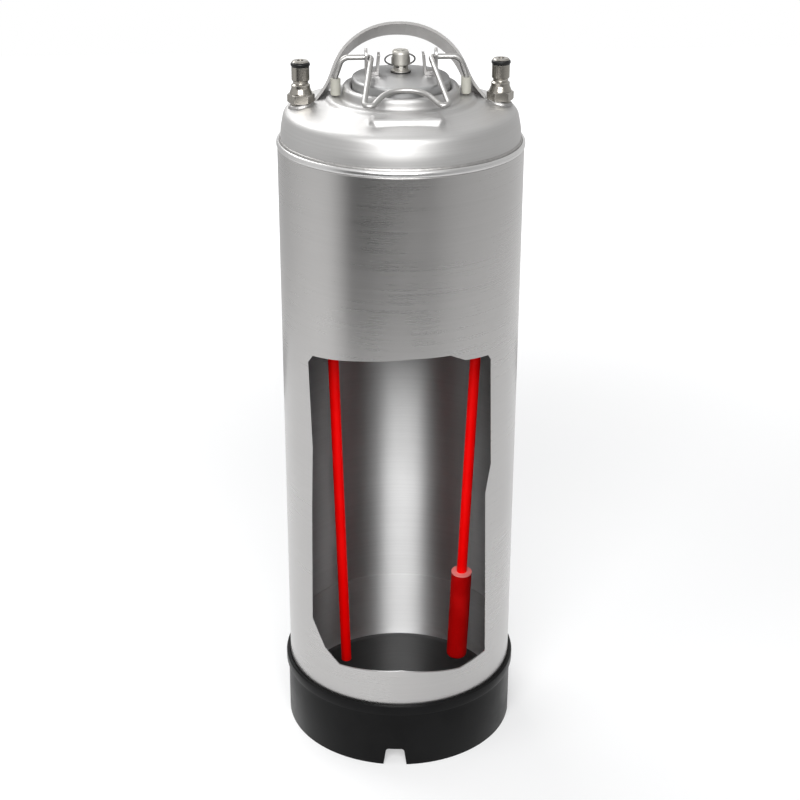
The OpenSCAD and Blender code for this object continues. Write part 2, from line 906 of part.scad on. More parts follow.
module relief_spring() {
    color(bright_steel) at_relief()
        spring(
            "relief spring",
            cavity_r - 1.2,
            stem_low + stem_disc_t + set_gap,
            web_low - set_gap,
            relief_spring_curls
        );
}

module relief_stem() {
    color(warm_steel) at_relief() difference() {
        union() {
            translate([0, 0, stem_low]) cylinder(r = cavity_r - run_gap, h = stem_disc_t);
            translate([0, 0, stem_low]) cylinder(r = stem_r, h = ring_z - stem_low);
            translate([0, 0, web_top + run_gap]) cylinder(r = stem_head_r, h = ring_z + 2.7 - web_top - run_gap);
        }
        translate([-5, 0, ring_z]) rotate([0, 90, 0]) cylinder(r = ring_wire / 2 + 0.5, h = 10);
    }
}

module relief_seal() {
    color(black_rubber) at_relief() translate([0, 0, stem_low - stem_seal_t])
        cylinder(r = cavity_r - 2 * run_gap, h = stem_seal_t);
}

module pull_ring() {
    color(bright_steel) at_relief() translate([0, 0, ring_z]) rotate([-ring_drop, 0, 0])
        translate([0, ring_r, 0]) cord_ring(ring_r, ring_wire / 2, 0);
}

// Clamp

// A point of the handle: x across and w along the handle from the pivot
function on_handle(x, w) = [x, -w * cos(handle_drop), pivot_z - w * sin(handle_drop)];

function clamp_half(s) = [
    [s * foot_x, 0, foot_bottom + foot_h - foot_grip],
    [s * foot_x, 0, foot_bottom + foot_h + leg_start],
    [s * (foot_x - leg_lean), 0, pivot_z],
    [s * arm_x, 0, pivot_z],
    on_handle(s * (arm_x + tip_splay), handle_len),
    on_handle(s * (arm_x + tip_in), handle_len),
    on_handle(s * (arm_x - grip_in), handle_len - grip_back)
];

module bail_wire() {
    right = clamp_half(1);
    left = clamp_half(-1);
    points = concat(right, [for (i = [len(left) - 1:-1:0]) left[i]]);
    half_bends = [0, foot_bend, leg_bend, pivot_bend, tip_bend, tip_bend, grip_bend];
    bends = concat(half_bends, [for (i = [len(half_bends) - 1:-1:0]) half_bends[i]]);
    color(bright_steel) rod(points, bends, wire_r);
}

module clamp_foot(side) {
    color(pale_plastic) translate([side * foot_x, 0, foot_bottom]) difference() {
        rotate_extrude() polygon(concat(
            rounded([[0, 0], [foot_d / 2, 0], [foot_d / 2, foot_h]], [0, foot_round, 0]),
            [[0, foot_h]]
        ));
        translate([0, 0, foot_h - foot_grip]) cylinder(r = wire_r + set_gap, h = foot_grip + 1);
    }
}

shell();
top_head();
bottom_head();
base_boot();
handle_strap();
spud(1);  // gas_spud
spud(-1);  // liquid_spud
post(1);  // gas_post
post(-1);  // liquid_post
post_seal(1);  // gas_post_seal
post_seal(-1);  // liquid_post_seal
tube_seal(1);  // gas_tube_seal
tube_seal(-1);  // liquid_tube_seal
gas_tube();
liquid_tube();
carbonation_stone();
stone_cap();
poppet(1);  // gas_poppet
poppet(-1);  // liquid_poppet
poppet_seal(1);  // gas_poppet_seal
poppet_seal(-1);  // liquid_poppet_seal
poppet_spring(1);  // gas_poppet_spring
poppet_spring(-1);  // liquid_poppet_spring
lid();
lid_seal();
ear(-1);  // left_ear
ear(1);  // right_ear
relief_bung();
relief_gasket();
relief_body();
relief_spring();
relief_stem();
relief_seal();
pull_ring();
bail_wire();
clamp_foot(-1);  // left_foot
clamp_foot(1);  // right_foot
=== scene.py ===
# %% [markdown]
# # A carbonation keg, dressed step by step
#
# The keg arrives as a frame of separate pieces at their real size: a tank with a display window,
# two posts, a lid with its clamp, and the lines inside. This lesson gives every piece its finish.
# The tank's wall and lining, the boot, the rim and the welds are modelled here, and the springs are
# copied from the frame. Blender counts in metres, and MM is one millimetre.

# %% Load the frame
import math

import bmesh
import bpy
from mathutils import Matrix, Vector


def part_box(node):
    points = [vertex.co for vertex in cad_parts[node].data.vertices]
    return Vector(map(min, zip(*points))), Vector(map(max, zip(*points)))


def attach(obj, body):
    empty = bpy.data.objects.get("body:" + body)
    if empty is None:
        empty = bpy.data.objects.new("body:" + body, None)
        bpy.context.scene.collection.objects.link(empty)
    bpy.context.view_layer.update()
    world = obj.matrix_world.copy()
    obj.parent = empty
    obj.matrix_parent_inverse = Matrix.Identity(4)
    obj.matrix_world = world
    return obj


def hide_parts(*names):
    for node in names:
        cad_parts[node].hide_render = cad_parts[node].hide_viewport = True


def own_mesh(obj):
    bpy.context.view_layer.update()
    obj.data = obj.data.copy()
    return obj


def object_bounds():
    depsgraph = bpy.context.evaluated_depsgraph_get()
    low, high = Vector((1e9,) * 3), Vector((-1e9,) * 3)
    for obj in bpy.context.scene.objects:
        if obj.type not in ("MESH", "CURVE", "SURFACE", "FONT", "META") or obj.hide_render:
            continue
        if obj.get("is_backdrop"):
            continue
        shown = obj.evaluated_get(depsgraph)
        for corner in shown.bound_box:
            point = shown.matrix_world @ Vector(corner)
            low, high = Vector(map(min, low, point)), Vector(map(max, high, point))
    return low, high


MM = 0.001
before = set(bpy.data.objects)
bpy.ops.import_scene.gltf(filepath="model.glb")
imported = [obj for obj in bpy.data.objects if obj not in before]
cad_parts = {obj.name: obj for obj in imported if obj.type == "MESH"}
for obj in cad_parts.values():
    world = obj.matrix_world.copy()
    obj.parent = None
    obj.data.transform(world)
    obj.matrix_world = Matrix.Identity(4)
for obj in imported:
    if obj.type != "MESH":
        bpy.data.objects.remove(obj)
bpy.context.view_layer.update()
bpy.ops.object.select_all(action="DESELECT")

# %% [markdown]
# ## The camera
#
# The keg is seen from a little above its lid, slightly from its left. A long lens keeps the tank's
# sides almost parallel. The camera could be aimed with a constraint, but plain angles are easier to
# read and never change by themselves.

# %% Place the camera
SENSOR = 36.0
LENS = 75.5
CAMERA_PLACE = (-0.0999, -1.4291, 0.9725)
CAMERA_DOWN = 24.06
CAMERA_TURN = -3.925
CAMERA_ROLL = -0.168

bpy.ops.object.camera_add(
    location=CAMERA_PLACE,
    rotation=(math.radians(90 - CAMERA_DOWN), math.radians(CAMERA_ROLL), math.radians(CAMERA_TURN)),
)
camera = bpy.context.object
camera.name = "photo_camera"
camera.data.sensor_width = SENSOR
camera.data.lens = LENS
bpy.context.scene.camera = camera
print("camera at", [round(x, 3) for x in camera.location])

# %% [markdown]
# ## Sky and floor
#
# Steel shows whatever stands around it, so the studio matters as much as the metal. The sky and the
# floor look white to the lens and in reflections, but give only a little soft light. One bright sky
# could do both jobs, but it would wash out every shadow, so the kind of ray chooses between the two.

# %% Colour management
scene = bpy.context.scene
scene.view_settings.view_transform = "Standard"
print("view transform:", scene.view_settings.view_transform)

# %% Helpers for node trees


def node(tree, kind, **settings):
    """Adds a node; a setting that isn't one of its own fields is the value of an input."""
    made = tree.nodes.new(kind)
    for name, value in settings.items():
        if hasattr(made, name):
            setattr(made, name, value)
        else:
            made.inputs[name.replace("_", " ")].default_value = value
    return made


def math_node(tree, operation, first, second=None):
    """Adds a Math node whose inputs are sockets or plain numbers."""
    made = tree.nodes.new("ShaderNodeMath")
    made.operation = operation
    for place, value in enumerate((first, second)):
        if value is None:
            continue
        if isinstance(value, (int, float)):
            made.inputs[place].default_value = value
        else:
            tree.links.new(value, made.inputs[place])
    return made.outputs[0]


def map_range(tree, value, before, after=(0.0, 1.0), curve="LINEAR"):
    """Carries a value over from one range to another, and holds it inside the new one."""
    made = node(tree, "ShaderNodeMapRange", interpolation_type=curve)
    labels = ("From Min", "From Max", "To Min", "To Max")
    for label, number in zip(labels, (*before, *after)):
        made.inputs[label].default_value = number
    tree.links.new(value, made.inputs["Value"])
    return made.outputs[0]


def seen_directly(tree):
    """1 for rays from the lens, from a mirror or through glass, and 0 for soft light."""
    path = tree.nodes.new("ShaderNodeLightPath")
    shown = math_node(tree, "MAXIMUM", path.outputs["Is Camera Ray"], path.outputs["Is Glossy Ray"])
    return math_node(tree, "MAXIMUM", shown, path.outputs["Is Transmission Ray"])


# %% A sky that looks white and lights softly
WHITE = (1, 1, 1, 1)
SKY_TINT = (0.95, 0.97, 1.0, 1)
SKY_LIGHT = 0.3

world = bpy.data.worlds.new("white_studio")
world.use_nodes = True
scene.world = world
sky = world.node_tree
sky.nodes.clear()
soft_sky = node(sky, "ShaderNodeBackground", Color=SKY_TINT, Strength=SKY_LIGHT)
white_sky = node(sky, "ShaderNodeBackground", Color=WHITE, Strength=1.0)
sky_choice = node(sky, "ShaderNodeMixShader")
sky_out = node(sky, "ShaderNodeOutputWorld")
sky.links.new(seen_directly(sky), sky_choice.inputs[0])
sky.links.new(soft_sky.outputs[0], sky_choice.inputs[1])
sky.links.new(white_sky.outputs[0], sky_choice.inputs[2])
sky.links.new(sky_choice.outputs[0], sky_out.inputs[0])
print("sky:", world.name, "with a soft light of", SKY_LIGHT)

# %% The floor keeps the shadow and fades to white
FLOOR_SIZE = 6.0
FLOOR_GREY = (0.55, 0.55, 0.55, 1)
FLOOR_ROUGH = 0.9
FADE_REACH = (0.5, 2.0)
FADE_LIFT = (0.42, 0.95)

bpy.ops.mesh.primitive_plane_add(size=FLOOR_SIZE, location=(0, 0, 0))
floor = bpy.context.object
floor.name = "studio_floor"
floor_paint = bpy.data.materials.new("studio_white")
floor_paint.use_nodes = True
floor_tree = floor_paint.node_tree
floor_shader = floor_tree.nodes["Principled BSDF"]
floor_shader.inputs["Base Color"].default_value = FLOOR_GREY
floor_shader.inputs["Roughness"].default_value = FLOOR_ROUGH
floor_shader.inputs["Specular IOR Level"].default_value = 0.0
floor_shader.inputs["Emission Color"].default_value = WHITE
from_keg = node(floor_tree, "ShaderNodeVectorMath", operation="LENGTH")
floor_tree.links.new(floor_tree.nodes.new("ShaderNodeTexCoord").outputs["Object"], from_keg.inputs[0])
fade = map_range(floor_tree, from_keg.outputs["Value"], FADE_REACH, FADE_LIFT, "SMOOTHSTEP")
floor_lift = math_node(floor_tree, "MULTIPLY", seen_directly(floor_tree), fade)
floor_tree.links.new(floor_lift, floor_shader.inputs["Emission Strength"])
floor.data.materials.append(floor_paint)
floor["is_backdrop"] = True
print("floor:", FLOOR_SIZE, "m wide")

# %% [markdown]
# ## Soft lamps
#
# Four softboxes light the keg: a large one in front, one behind for the rims, and two weak ones at
# the sides. The weak ones are kept out of reflections, because their outlines would stand on the
# polished wall. A sun lamp would be simpler, but its shadow is too hard for a studio.

# %% Hang the lamps
MIDDLE = Vector((0, 0, 0.35))
LAMPS = (
    ("front_softbox", (-0.24, -1.9, 1.62), 1.5, 1.1, 54, True),
    ("back_softbox", (-0.8, 1.2, 1.9), 1.4, 0.9, 22, True),
    ("left_softbox", (-1.5, -0.7, 1.2), 0.9, 1.6, 5, False),
    ("right_softbox", (1.6, -0.3, 1.0), 0.8, 1.6, 3, False),
)

for lamp_name, lamp_place, width, height, watts, mirrored in LAMPS:
    bpy.ops.object.light_add(type="AREA", location=lamp_place)
    lamp = bpy.context.object
    lamp.name = lamp_name
    lamp.data.shape = "RECTANGLE"
    lamp.data.size = width
    lamp.data.size_y = height
    lamp.data.energy = watts
    lamp.visible_glossy = mirrored
    lamp.rotation_euler = (MIDDLE - Vector(lamp_place)).to_track_quat("-Z", "Y").to_euler()

# %% [markdown]
# ## A ring of tones
#
# A polished cylinder is drawn by the stripes that it mirrors. A ring of cards stands round the keg,
# seen by mirrors alone, and its grey changes with the turn: dark in front and pale at the sides. The
# stripes could be painted on the shell, but then they would stay in place when the keg is seen from
# another side. Cards work from every side, which is why photographers use them.

# %% Paint for the cards
TONES = (
    (-180, 0.62), (-131, 0.62), (-105, 0.8), (-86, 0.9), (-66, 0.9), (-52, 0.45), (-45, 0.03),
    (-26, 0.05), (0, 0.14), (26, 0.24), (40, 0.45), (54, 0.58), (86, 0.7), (131, 0.8), (180, 0.8),
)
LOW_LIFT = 0.14
LOW_LIFT_TOP = 0.3


def glowing(name):
    """A card's paint, which only glows; returns the paint and its colour's socket."""
    coat = bpy.data.materials.new(name)
    coat.use_nodes = True
    shader = coat.node_tree.nodes["Principled BSDF"]
    shader.inputs["Base Color"].default_value = (0, 0, 0, 1)
    shader.inputs["Specular IOR Level"].default_value = 0.0
    shader.inputs["Emission Strength"].default_value = 1.0
    return coat, shader.inputs["Emission Color"]


def tone_paint():
    """A grey that follows the turn round the keg and is paler near the floor."""
    coat, colour = glowing("tone_cards")
    tree = coat.node_tree
    parts = tree.nodes.new("ShaderNodeSeparateXYZ")
    tree.links.new(tree.nodes.new("ShaderNodeTexCoord").outputs["Object"], parts.inputs[0])
    x, y, z = parts.outputs
    angle = math_node(tree, "ARCTAN2", x, math_node(tree, "MULTIPLY", y, -1.0))
    turn_share = math_node(tree, "DIVIDE", angle, 2 * math.pi)
    ramp = tree.nodes.new("ShaderNodeValToRGB")
    tree.links.new(math_node(tree, "ADD", turn_share, 0.5 - CAMERA_TURN / 360), ramp.inputs[0])
    stops = ramp.color_ramp.elements
    while len(stops) < len(TONES):
        stops.new(0.5)
    for stop, (turn, grey) in zip(stops, TONES):
        stop.position = (turn + 180) / 360
        stop.color = (grey, grey, grey, 1)
    paler = map_range(tree, z, (0.0, LOW_LIFT_TOP), (LOW_LIFT, 0.0), "SMOOTHSTEP")
    tree.links.new(math_node(tree, "ADD", ramp.outputs[0], paler), colour)
    return coat


TONE_PAINT = tone_paint()
print("tones:", len(TONES), "greys round the keg")

# %% Stand the cards up
TONE_FAR = 1.0
TONE_LOW = 0.002
TONE_STEP = 3
TONE_CARDS = (
    ("tones_left", -165, -54, 0.9),
    ("tones_front", -54, 42, 0.76),
    ("tones_right", 42, 165, 1.9),
)


def mirror_card(name, corners, faces, coat):
    """A card that only mirrors see."""
    mesh = bpy.data.meshes.new(name)
    mesh.from_pydata(corners, [], faces)
    mesh.materials.append(coat)
    card = bpy.data.objects.new(name, mesh)
    scene.collection.objects.link(card)
    card.visible_camera = False
    card.visible_diffuse = False
    card.visible_shadow = False
    card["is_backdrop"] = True


def around(turn, distance, height):
    """A point at a turn from the camera's side of the keg, positive to the right."""
    angle = math.radians(turn + CAMERA_TURN)
    return (distance * math.sin(angle), -distance * math.cos(angle), height)


for card_name, start, end, top in TONE_CARDS:
    turns = range(start, end + 1, TONE_STEP)
    corners = [around(turn, TONE_FAR, height) for turn in turns for height in (TONE_LOW, top)]
    faces = [(2 * i, 2 * i + 2, 2 * i + 3, 2 * i + 1) for i in range(len(turns) - 1)]
    mirror_card(card_name, corners, faces, TONE_PAINT)
    print(card_name, "stands from", start, "to", end, "degrees")

# %% A grey card on the floor behind the keg
BACK_NEAR = 0.75
BACK_FAR = 2.6
BACK_LIFT = 0.004
BACK_GREY = 0.42

back_paint, back_colour = glowing("card_floor_behind")
back_colour.default_value = (BACK_GREY, BACK_GREY, BACK_GREY, 1)
back_corners = [(x, y, BACK_LIFT) for y in (BACK_NEAR, BACK_FAR) for x in (-BACK_FAR, BACK_FAR)]
mirror_card("card_floor_behind", back_corners, [(0, 1, 3, 2)], back_paint)
print("card on the floor from", BACK_NEAR, "to", BACK_FAR, "m behind the keg")

# %% [markdown]
# ## Shared surface effects
#
# The rings of turned metal, cloudy handling marks, fine pits and light edges come back on many
# pieces; the light edges are partly worn metal and partly a painted highlight. Each could be drawn
# anew in every material, but as a node group with named inputs it is built once and placed with
# other numbers. A group only puts out values, and every material mixes them into its own shader.

# %% Rings of turned metal


def new_group(name, inputs, outputs):
    """An empty node group with float or vector inputs and float outputs."""
    group = bpy.data.node_groups.new(name, "ShaderNodeTree")
    for label, kind, value in inputs:
        socket = group.interface.new_socket(name=label, in_out="INPUT", socket_type=kind)
        if value is not None:
            socket.default_value = value
    for label in outputs:
        group.interface.new_socket(name=label, in_out="OUTPUT", socket_type="NodeSocketFloat")
    print("group", name, "takes", [given[0] for given in inputs], "and gives", outputs)
    return group, group.nodes.new("NodeGroupInput"), group.nodes.new("NodeGroupOutput")


def make_turned_grain():
    """Fine rings round the vertical axis, as a polishing belt leaves them on a turning piece."""
    group, given, result = new_group(
        "Turned grain",
        [
            ("Vector", "NodeSocketVector", None),
            ("Density", "NodeSocketFloat", 900.0),
            ("Drift", "NodeSocketFloat", 6.0),
        ],
        ["Grain"],
    )
    links = group.links
    parts = group.nodes.new("ShaderNodeSeparateXYZ")
    links.new(given.outputs["Vector"], parts.inputs[0])
    x, y, z = parts.outputs
    x_square = math_node(group, "MULTIPLY", x, x)
    y_square = math_node(group, "MULTIPLY", y, y)
    radius = math_node(group, "SQRT", math_node(group, "ADD", x_square, y_square))
    along = math_node(group, "SUBTRACT", radius, z)
    spread = group.nodes.new("ShaderNodeCombineXYZ")
    links.new(math_node(group, "MULTIPLY", x, given.outputs["Drift"]), spread.inputs[0])
    links.new(math_node(group, "MULTIPLY", y, given.outputs["Drift"]), spread.inputs[1])
    links.new(math_node(group, "MULTIPLY", along, given.outputs["Density"]), spread.inputs[2])
    noise = node(group, "ShaderNodeTexNoise", Scale=1.0, Detail=4.0, Roughness=0.62)
    links.new(spread.outputs[0], noise.inputs["Vector"])
    links.new(noise.outputs[0], result.inputs["Grain"])
    return group


TURNED_GRAIN = make_turned_grain()

# %% Cloudy marks


def make_cloudy():
    """Soft blotches between 0 and 1: handling marks, dust, uneven polish."""
    group, given, result = new_group(
        "Cloudy",
        [
            ("Vector", "NodeSocketVector", None),
            ("Scale", "NodeSocketFloat", 14.0),
            ("Low", "NodeSocketFloat", 0.4),
            ("High", "NodeSocketFloat", 0.65),
        ],
        ["Cloud"],
    )
    noise = node(group, "ShaderNodeTexNoise", Detail=5.0, Roughness=0.55)
    spread = node(group, "ShaderNodeMapRange")
    group.links.new(given.outputs["Vector"], noise.inputs["Vector"])
    group.links.new(given.outputs["Scale"], noise.inputs["Scale"])
    group.links.new(noise.outputs[0], spread.inputs["Value"])
    group.links.new(given.outputs["Low"], spread.inputs["From Min"])
    group.links.new(given.outputs["High"], spread.inputs["From Max"])
    group.links.new(spread.outputs[0], result.inputs["Cloud"])
    return group


CLOUDY = make_cloudy()

# %% Fine pits


def make_fine_pits():
    """The dense tiny hollows of moulded rubber or sintered stone."""
    group, given, result = new_group(
        "Fine pits",
        [("Vector", "NodeSocketVector", None), ("Scale", "NodeSocketFloat", 900.0)],
        ["Pits"],
    )
    cells = node(group, "ShaderNodeTexVoronoi", feature="SMOOTH_F1", Smoothness=0.5)
    group.links.new(given.outputs["Vector"], cells.inputs["Vector"])
    group.links.new(given.outputs["Scale"], cells.inputs["Scale"])
    group.links.new(cells.outputs["Distance"], result.inputs["Pits"])
    return group


FINE_PITS = make_fine_pits()

# %% Worn edges with a painted highlight
EDGE_RANGE = (0.99, 0.85)


def make_worn_highlit_edges():
    """Near 1 along sharp edges, broken up by blotches: partly worn metal, partly a painted highlight."""
    group, given, result = new_group(
        "Edge worn and highlit",
        [("Vector", "NodeSocketVector", None), ("Radius", "NodeSocketFloat", 0.0008)],
        ["Wear"],
    )
    rounded = node(group, "ShaderNodeBevel", samples=4)
    group.links.new(given.outputs["Radius"], rounded.inputs["Radius"])
    meet = node(group, "ShaderNodeVectorMath", operation="DOT_PRODUCT")
    group.links.new(rounded.outputs[0], meet.inputs[0])
    group.links.new(group.nodes.new("ShaderNodeNewGeometry").outputs["Normal"], meet.inputs[1])
    edge = map_range(group, meet.outputs["Value"], EDGE_RANGE)
    blotches = node(group, "ShaderNodeTexNoise", Scale=220.0, Detail=3.0)
    group.links.new(given.outputs["Vector"], blotches.inputs["Vector"])
    # This edge mask is partly wear and partly a painted highlight on the edges.
    worn_and_highlit = math_node(group, "MULTIPLY", edge, blotches.outputs[0])
    group.links.new(worn_and_highlit, result.inputs["Wear"])
    return group


EDGE_WEAR_AND_HIGHLIGHT = make_worn_highlit_edges()

# %% [markdown]
# ## Stainless steel
#
# The tank is satin stainless: a belt has run round it, so the rings of the grain go round the tank
# and its gloss is drawn out upwards. A picture of brushed metal could be wrapped round it, but that
# leaves a seam, so the rings are worked out from the piece's own coordinates. One function makes
# every turned finish. Colour and roughness follow the grain, and cloudy marks keep large faces from
# looking computed.

# %% Helpers for materials


def new_material(name):
    """A material, its tree, its shader and the piece's own coordinates."""
    material = bpy.data.materials.new(name)
    material.use_nodes = True
    tree = material.node_tree
    place = tree.nodes.new("ShaderNodeTexCoord").outputs["Object"]
    return material, tree, tree.nodes["Principled BSDF"], place


def use_group(tree, group, vector, **values):
    """Places a group in a tree and returns its first output."""
    made = tree.nodes.new("ShaderNodeGroup")
    made.node_tree = group
    tree.links.new(vector, made.inputs["Vector"])
    for name, value in values.items():
        made.inputs[name].default_value = value
    return made.outputs[0]


def blend(tree, share, first, second):
    """A colour between two, by a share from 0 to 1; each is a socket or a plain colour."""
    mix = node(tree, "ShaderNodeMix", data_type="RGBA")
    tree.links.new(share, mix.inputs[0])
    # A Mix node also has number and vector sockets: its colours are inputs 6 and 7 and output 2.
    for socket, value in ((mix.inputs[6], first), (mix.inputs[7], second)):
        if isinstance(value, tuple):
            socket.default_value = (*value, 1)
        else:
            tree.links.new(value, socket)
    return mix.outputs[2]


def bump(tree, shader, height, strength, depth, pressed=0):
    """Feeds a height to the shader's normal; pressed is the radius that rounds its edges first."""
    made = node(tree, "ShaderNodeBump", Strength=strength, Distance=depth)
    if pressed:
        rounded = node(tree, "ShaderNodeBevel", samples=6, Radius=pressed)
        tree.links.new(rounded.outputs[0], made.inputs["Normal"])
    tree.links.new(height, made.inputs["Height"])
    tree.links.new(made.outputs[0], shader.inputs["Normal"])


def paint(material, *names):
    """Gives a material to pieces of the frame."""
    for name in names:
        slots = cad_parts[name].data.materials
        slots.clear()
        slots.append(material)
    print(material.name, "on", ", ".join(names))


# %% Helpers for turned pieces


def centred_on(tree, vector, centre):
    """The coordinates measured from another centre."""
    mapping = node(tree, "ShaderNodeMapping", vector_type="POINT")
    mapping.inputs["Location"].default_value = [-c for c in centre]
    tree.links.new(vector, mapping.inputs["Vector"])
    return mapping.outputs[0]


def stretch_across_grain(tree, shader, vector):
    """Turns the shader's tangent across the rings of a turned piece, as its gloss is drawn out."""
    rings = node(tree, "ShaderNodeVectorMath", operation="CROSS_PRODUCT")
    rings.inputs[0].default_value = (0, 0, 1)
    tree.links.new(vector, rings.inputs[1])
    across = node(tree, "ShaderNodeVectorMath", operation="CROSS_PRODUCT")
    tree.links.new(rings.outputs[0], across.inputs[0])
    tree.links.new(tree.nodes.new("ShaderNodeNewGeometry").outputs["Normal"], across.inputs[1])
    tree.links.new(across.outputs[0], shader.inputs["Tangent"])


# %% Turned steel
# Pale edge tone: partly bare worn metal, partly a painted highlight where an edge catches the light.
WORN_HIGHLIT_EDGE = (0.72, 0.71, 0.70)
MARK_SCALE = 9.0
MARK_SHARE = 0.3
MARK_ROUGH = 0.04
GRAIN_ROUGH = 0.05
GRAIN_BUMP = 0.1
GRAIN_DEPTH = 0.00003


def turned_steel(
    name, dark, light, rough, stretch,
    density=900.0, centre=(0, 0, 0), depth=GRAIN_DEPTH, worn_highlit_edges=0, pressed=0,
):
    """Steel with a ring grain round an upright axis; edges lighten as wear and painted highlight, and
    pressed rounds them.
    """
    material, tree, shader, place = new_material(name)
    here = centred_on(tree, place, centre)
    grain = use_group(tree, TURNED_GRAIN, here, Density=density)
    cloud = use_group(tree, CLOUDY, here, Scale=MARK_SCALE)
    colour = blend(tree, grain, dark, light)
    marked = blend(tree, math_node(tree, "MULTIPLY", cloud, MARK_SHARE), colour, dark)
    # Edges are lightened towards the pale edge tone: partly wear, partly a painted highlight.
    if worn_highlit_edges:
        worn_and_highlit = math_node(tree, "MULTIPLY", use_group(tree, EDGE_WEAR_AND_HIGHLIGHT, here), worn_highlit_edges)
        marked = blend(tree, worn_and_highlit, marked, WORN_HIGHLIT_EDGE)
    tree.links.new(marked, shader.inputs["Base Color"])
    even = map_range(tree, grain, (0.0, 1.0), (rough - GRAIN_ROUGH, rough + GRAIN_ROUGH))
    dulled = math_node(tree, "ADD", even, math_node(tree, "MULTIPLY", cloud, MARK_ROUGH))
    tree.links.new(dulled, shader.inputs["Roughness"])
    shader.inputs["Metallic"].default_value = 1.0
    shader.inputs["Anisotropic"].default_value = stretch
    bump(tree, shader, grain, GRAIN_BUMP, depth, pressed)
    stretch_across_grain(tree, shader, here)
    return material


# %% Heads, lid and shell
HEAD_ROUND = 3.5 * MM

head_steel = turned_steel(
    "head_steel", (0.42, 0.415, 0.41), (0.55, 0.545, 0.54), rough=0.49, stretch=0.2, pressed=HEAD_ROUND
)
lid_steel = turned_steel(
    "lid_steel", (0.34, 0.34, 0.34), (0.46, 0.46, 0.46), rough=0.45, stretch=0.2
)
shell_steel = turned_steel(
    "shell_steel", (0.44, 0.432, 0.426), (0.51, 0.502, 0.496), rough=0.27, stretch=0.3, density=700.0
)
# The bottom head is painted far darker than the other steel: partly a duller tint, partly painted shade
# for the tank's floor, which lies in shadow.
bottom_steel_painted_shade = turned_steel(
    "bottom_steel_painted_shade", (0.10, 0.10, 0.10), (0.15, 0.15, 0.15), rough=0.42, stretch=0.2
)
paint(head_steel, "top_head")
paint(lid_steel, "lid", "relief_bung")
paint(bottom_steel_painted_shade, "bottom_head")

# %% [markdown]
# ## The wall of the tank
#
# The wall is a rolled sheet with a window sawn out of it by hand. A cylinder primitive could stand
# in for it, but the seam groove and the chamfered top need an outline, so a circle is extruded and
# scaled along one. It has many sides, because a polished cylinder shows every flat in its
# reflections. The window is cut with a prism of the sawn outline.

# %% Helpers for modelling


def pick(piece):
    """Makes one object the only one selected."""
    bpy.ops.object.select_all(action="DESELECT")
    piece.select_set(True)
    bpy.context.view_layer.objects.active = piece


def finish_piece(piece, body, material, smooth=35):
    """Smooths a finished piece, paints it, and lets it ride on a body."""
    pick(piece)
    bpy.ops.object.shade_smooth_by_angle(angle=math.radians(smooth))
    piece.data.materials.clear()
    piece.data.materials.append(material)
    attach(piece, body)
    print(piece.name, "has", len(piece.data.polygons), "faces")


def apply_modifier(piece, kind, **settings):
    """Adds a modifier with its settings and applies it."""
    pick(piece)
    modifier = piece.modifiers.new(kind.title(), kind)
    for name, value in settings.items():
        setattr(modifier, name, value)
    bpy.ops.object.modifier_apply(modifier=modifier.name)


def cut_away(piece, cutter):
    """Takes a cutter's shape out of a piece, and the cutter out of the scene."""
    apply_modifier(piece, "BOOLEAN", object=cutter, operation="DIFFERENCE", solver="EXACT")
    bpy.data.objects.remove(cutter)


# %% A ring drawn out of a circle
MERGE = 0.01 * MM


def swept_ring(name, outline, sides):
    """Extrudes and scales a circle along a closed outline of (radius, height) in millimetres."""
    bpy.ops.object.select_all(action="DESELECT")
    bpy.ops.mesh.primitive_circle_add(vertices=sides, radius=outline[0][0] * MM)
    piece = bpy.context.object
    piece.name = name
    bpy.ops.object.mode_set(mode="EDIT")
    bpy.ops.mesh.select_mode(type="VERT")
    bpy.ops.mesh.select_all(action="SELECT")
    bpy.ops.transform.translate(value=(0, 0, outline[0][1] * MM))
    for (r_from, z_from), (r_to, z_to) in zip(outline, outline[1:] + outline[:1]):
        rise = (0, 0, (z_to - z_from) * MM)
        bpy.ops.mesh.extrude_region_move(TRANSFORM_OT_translate={"value": rise})
        grow = r_to / r_from
        bpy.ops.transform.resize(value=(grow, grow, 1), center_override=(0, 0, 0))
    bpy.ops.mesh.select_all(action="SELECT")
    bpy.ops.mesh.remove_doubles(threshold=MERGE)
    bpy.ops.mesh.normals_make_consistent(inside=False)
    bpy.ops.object.mode_set(mode="OBJECT")
    return piece


# %% Roll the wall
WALL_OUTLINE = [
    (106.5, 45), (108, 45), (108, 578.5), (107.65, 579), (108, 579.5), (108, 583.3), (107.3, 584),
    (106.5, 584),
]
WALL_SIDES = 288

wall = swept_ring("tank_wall", WALL_OUTLINE, WALL_SIDES)
print("wall rolled from", len(WALL_OUTLINE), "rings of", WALL_SIDES, "sides")

# %% Cut the window
WINDOW_PLACE = Vector((-5 * MM, 0, 97 * MM))
WINDOW_SIZE = Vector((163 * MM, 0, 322 * MM))
WINDOW_SHARES = [
    (-0.50, 0.13), (-0.43, 0.05), (-0.35, 0.012), (0, 0.022), (0.34, 0), (0.50, 0.02), (0.49, 0.25),
    (0.475, 0.55), (0.505, 0.635), (0.486, 0.957), (0.47, 0.972), (0.34, 0.978), (0.255, 1), (0.05, 1),
    (-0.22, 0.987), (-0.47, 0.969), (-0.495, 0.945), (-0.48, 0.69), (-0.49, 0.49),
]
WINDOW_REACH = 150 * MM
WALL_SMOOTH = 25


